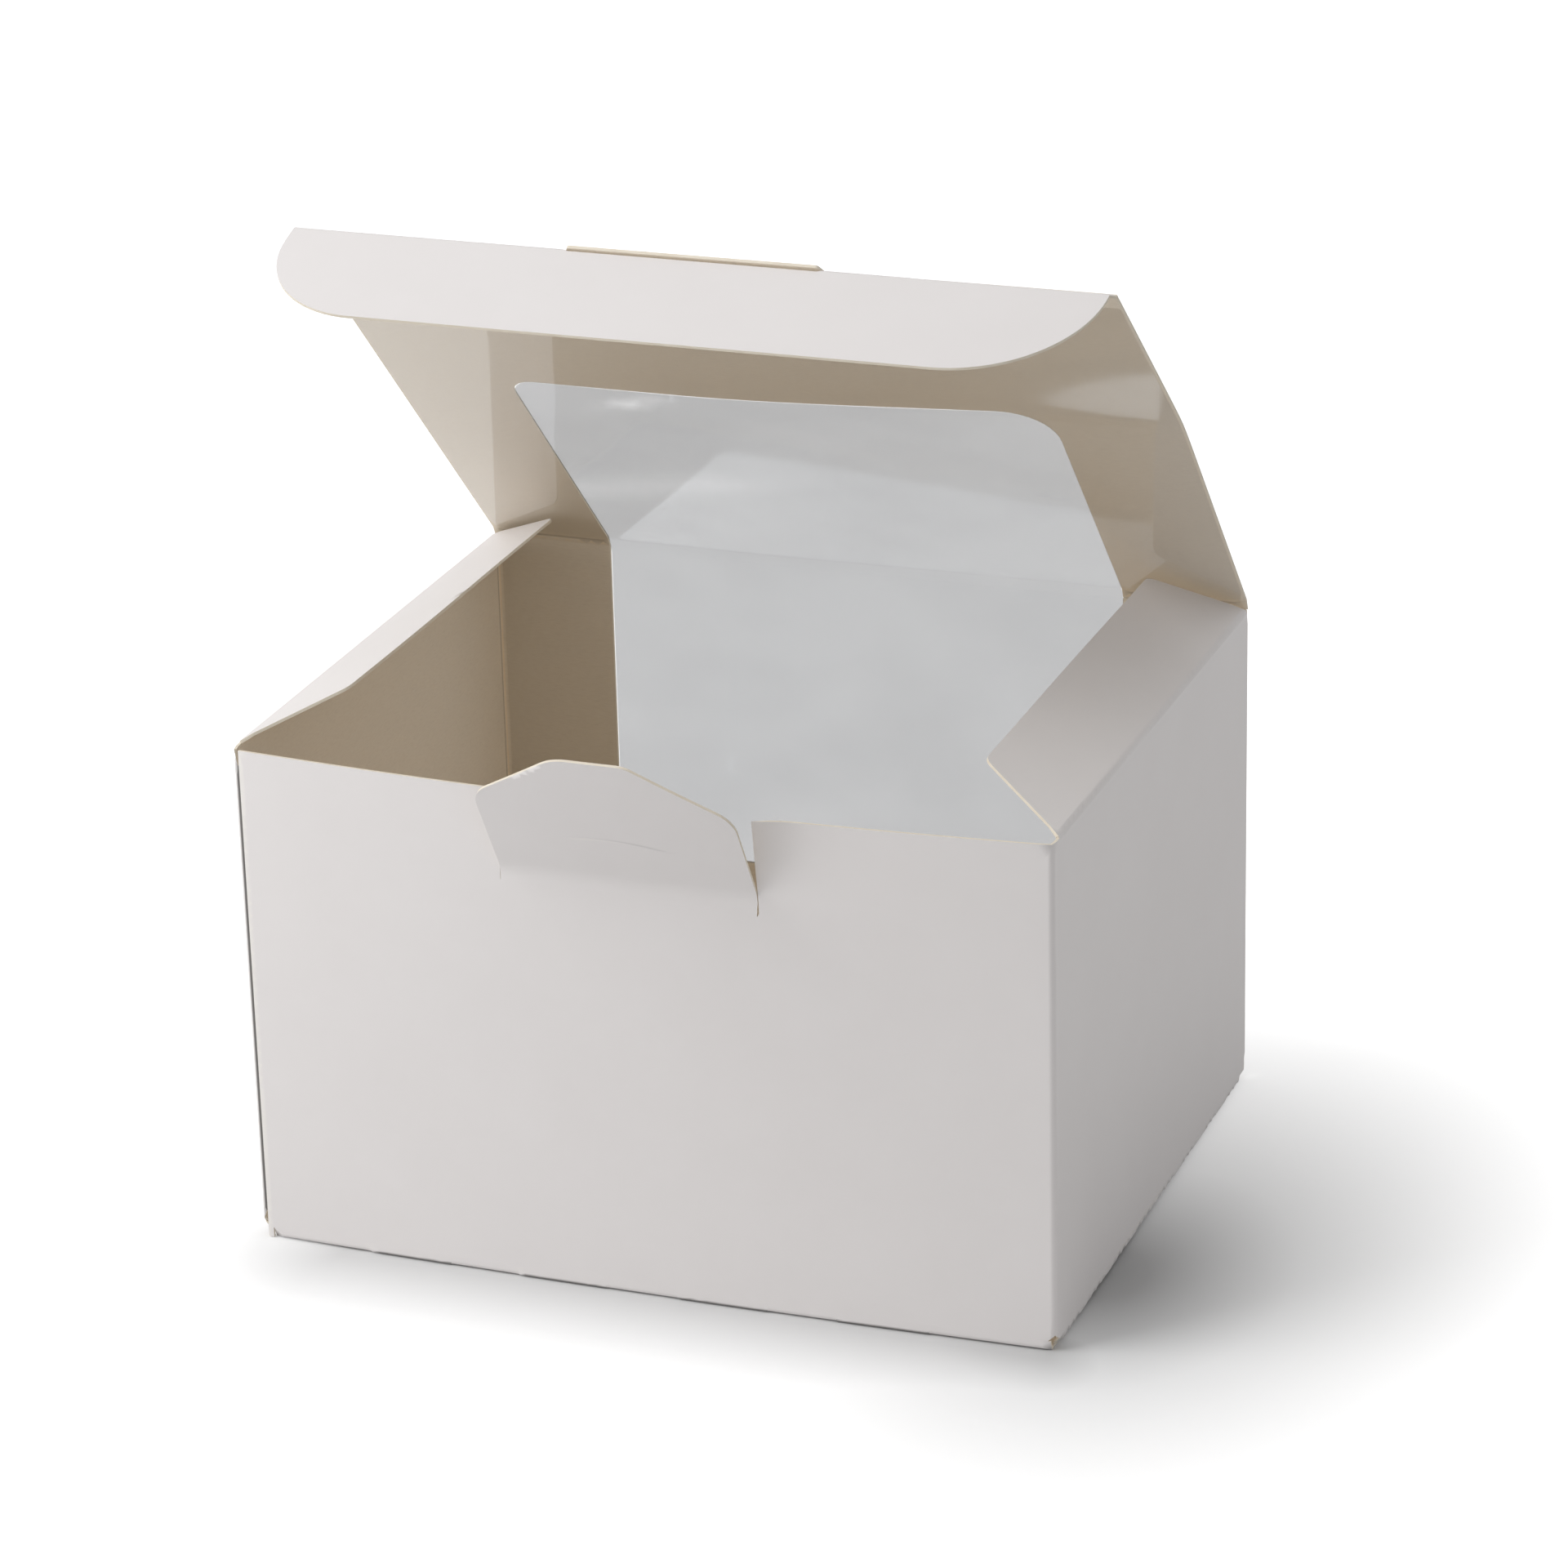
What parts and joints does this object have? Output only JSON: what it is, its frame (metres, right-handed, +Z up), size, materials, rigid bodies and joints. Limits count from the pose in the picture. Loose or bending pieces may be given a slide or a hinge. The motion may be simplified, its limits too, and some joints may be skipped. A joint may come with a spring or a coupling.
{
  "type": "pastry box",
  "caption": "White folding carton with a clear film window over lid and back, a tuck flap, dust flaps and a die-cut lock tongue, standing half open.",
  "frame": {"origin": "middle of the base, midway between the side walls and between the flat front and back planes, on the surface the box stands on", "axes": "+X to the right along the front, +Y from the front wall to the back wall where the lid is hinged, +Z up"},
  "size_m": [0.15, 0.1385, 0.1805],
  "materials": {
    "board": "coated white outside, uncoated cream inside",
    "film": "clear, glossy"
  },
  "bodies": {
    "carton": {"carton_body": "board", "window_film_back": "film"},
    "lid": {"lid_panel": "board", "window_film_lid": "film"},
    "tuck_flap": {"tuck_flap": "board"},
    "left_dust_flap": {"left_dust_flap": "board"},
    "right_dust_flap": {"right_dust_flap": "board"},
    "lock_tongue": {"lock_tongue": "board"}
  },
  "joints": [
    {"name": "lid_hinge", "type": "hinge", "parent": "carton", "child": "lid", "pos_m": [0, 0.05875, 0.09505], "axis": [-1, 0, 0], "range_deg": [-45.5, 54.5]},
    {"name": "tuck_fold", "type": "hinge", "parent": "lid", "child": "tuck_flap", "pos_m": [0, -0.02291, 0.17814], "axis": [-1, 0, 0], "range_deg": [-39, 47]},
    {"name": "left_dust_fold", "type": "hinge", "parent": "carton", "child": "left_dust_flap", "pos_m": [-0.07475, 0, 0.09435], "axis": [0, -1, 0], "range_deg": [-25.1, 30]},
    {"name": "right_dust_fold", "type": "hinge", "parent": "carton", "child": "right_dust_flap", "pos_m": [0.07475, 0, 0.09435], "axis": [0, 1, 0], "range_deg": [-25.1, 30]},
    {"name": "tongue_fold", "type": "hinge", "parent": "carton", "child": "lock_tongue", "pos_m": [0, -0.06175, 0.077], "axis": [1, 0, 0], "range_deg": [-30, 75]}
  ],
  "couplings": [
    {"joint": "tuck_fold", "follows": "lid_hinge", "ratio": 0.85},
    {"joint": "left_dust_fold", "follows": "lid_hinge", "ratio": 0.549},
    {"joint": "right_dust_fold", "follows": "lid_hinge", "ratio": 0.549}
  ]
}
